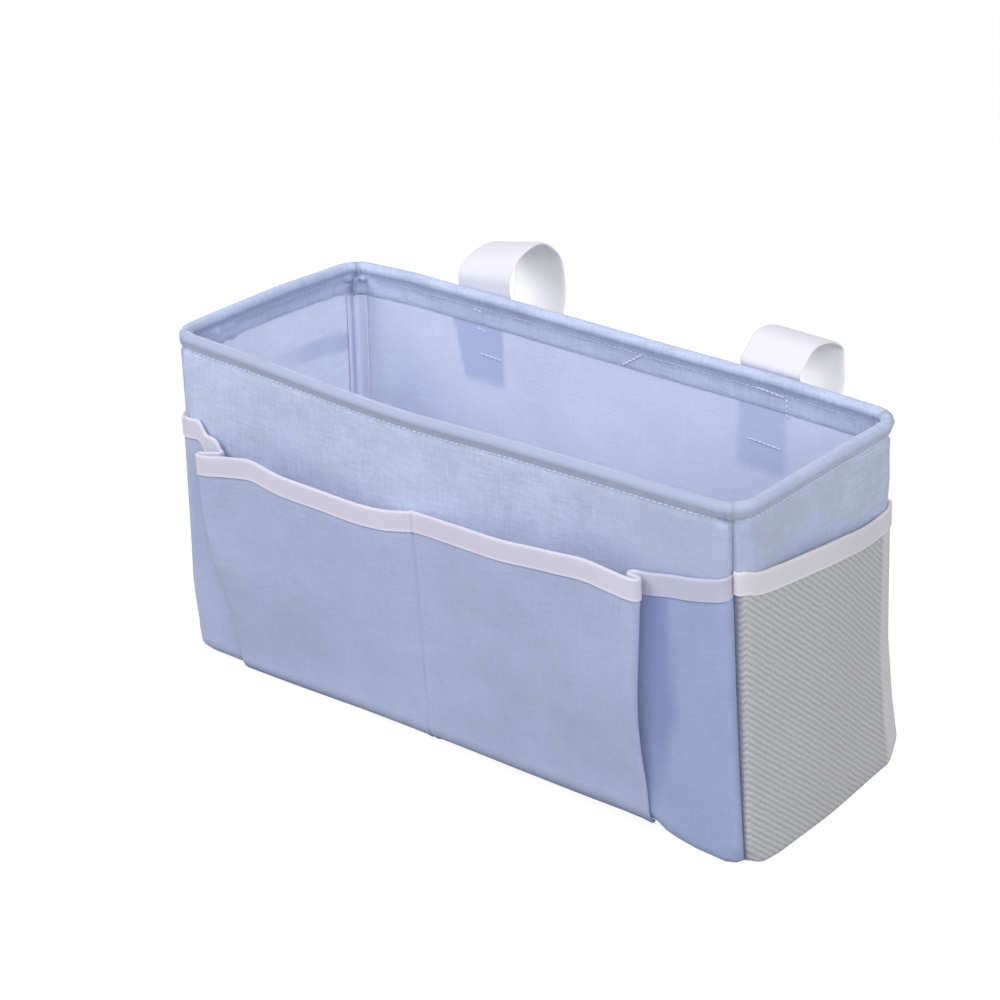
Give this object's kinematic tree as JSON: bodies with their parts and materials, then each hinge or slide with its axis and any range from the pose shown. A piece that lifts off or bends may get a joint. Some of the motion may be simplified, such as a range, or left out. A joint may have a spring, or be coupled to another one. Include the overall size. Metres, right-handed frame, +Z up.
{
  "type": "hanging pocket organizer",
  "caption": "Open-top fabric caddy on a steel wire rim, with a pleated front pocket, mesh end pockets and hook-and-loop strap loops behind for hanging it on a rail.",
  "frame": {"origin": "centre of the base, on its underside, midway between the end walls and between the rim wire's two long runs", "axes": "+X along the long side, to the right seen from the front pocket; +Y from the front pocket to the back, where the straps are; +Z up"},
  "size_m": [0.3452, 0.1816, 0.1877],
  "materials": {
    "wall_linen": "pale blue plain-weave linen-look cloth, matte",
    "hem_linen": "the same cloth folded double over the wire, matte",
    "pocket_linen": "the same cloth, pleated, matte",
    "binding_tape": "white ribbed binding tape, matte",
    "seam_tape": "overlocked seam allowance, matte",
    "grey_mesh": "grey open mesh with fine slanted ribs, matte",
    "strap_webbing": "white brushed-loop strap, soft and matte",
    "hook_and_loop": "white hook or loop tape, matte",
    "steel_wire": "bare drawn steel wire, satin"
  },
  "bodies": {
    "caddy": {"rim_wire": "steel_wire", "rim_casing_front": "hem_linen", "rim_casing_back": "hem_linen", "rim_casing_left": "hem_linen", "rim_casing_right": "hem_linen", "front_panel": "wall_linen", "back_panel": "wall_linen", "left_panel": "wall_linen", "right_panel": "wall_linen", "bottom_panel": "wall_linen", "base_seam_tape": "seam_tape", "base_board": "wall_linen", "seam_tape_left_back": "seam_tape", "seam_tape_left_front": "seam_tape", "seam_tape_right_front": "seam_tape", "seam_tape_right_back": "seam_tape", "front_pocket": "pocket_linen", "front_pocket_binding": "binding_tape", "left_mesh_pocket": "grey_mesh", "left_pocket_binding": "binding_tape", "right_mesh_pocket": "grey_mesh", "right_pocket_binding": "binding_tape", "strap_left_root": "strap_webbing", "strap_left_loop_patch": "hook_and_loop", "strap_right_root": "strap_webbing", "strap_right_loop_patch": "hook_and_loop"},
    "strap_left_tail": {"strap_left_tail": "strap_webbing", "strap_left_hook_patch": "hook_and_loop"},
    "strap_right_tail": {"strap_right_tail": "strap_webbing", "strap_right_hook_patch": "hook_and_loop"}
  },
  "joints": [
    {"name": "strap_left_peel", "type": "hinge", "parent": "caddy", "child": "strap_left_tail", "pos_m": [-0.077, 0.07964, 0.18769], "axis": [1, 0, 0], "range_deg": [0, 150]},
    {"name": "strap_right_peel", "type": "hinge", "parent": "caddy", "child": "strap_right_tail", "pos_m": [0.089, 0.07968, 0.18219], "axis": [1, 0, 0], "range_deg": [0, 150]}
  ]
}
